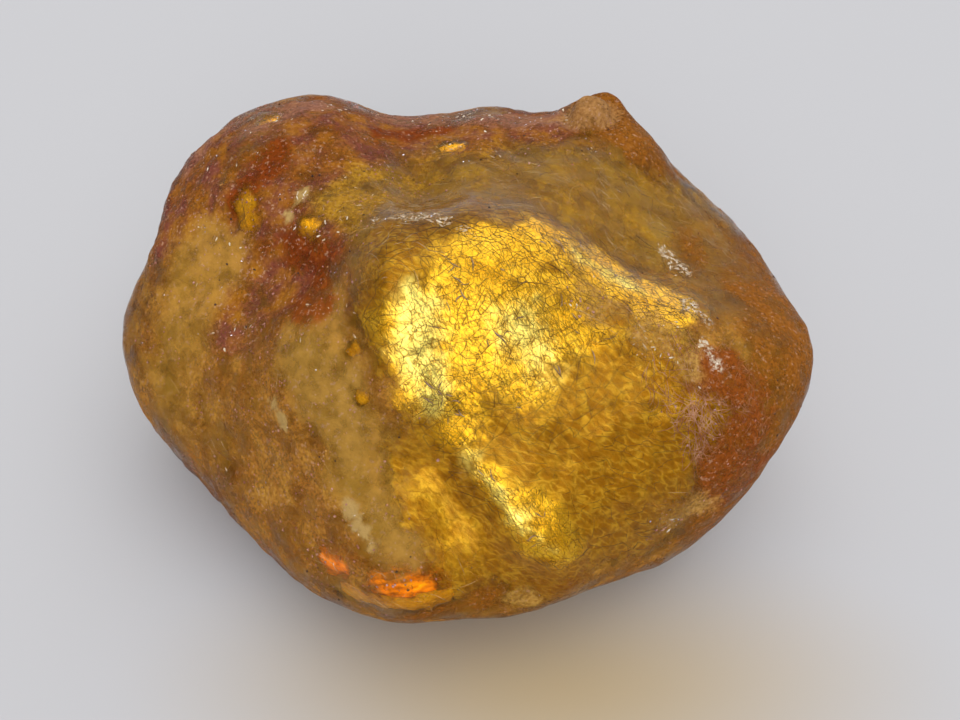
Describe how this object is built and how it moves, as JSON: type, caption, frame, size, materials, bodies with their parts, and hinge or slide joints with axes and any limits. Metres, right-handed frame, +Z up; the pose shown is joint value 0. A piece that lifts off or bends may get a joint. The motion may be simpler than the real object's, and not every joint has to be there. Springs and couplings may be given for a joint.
{
  "type": "raw kauri gum",
  "caption": "Worn lump of raw kauri gum: fossil resin with a clear golden crazed face, a rough brown crust, a small knob on its rim and a flat foot.",
  "frame": {"origin": "centre of the bounding box's base, on the flat foot", "axes": "+X along the lump's length, +Y to its back, away from the clear golden face, +Z up and square to the foot"},
  "size_m": [0.08, 0.0646, 0.0444],
  "materials": {
    "gum": "see-through golden amber resin, fine crazing, frosted and crusted in places"
  },
  "bodies": {
    "root": {"gum_lump": "gum"}
  },
  "joints": []
}
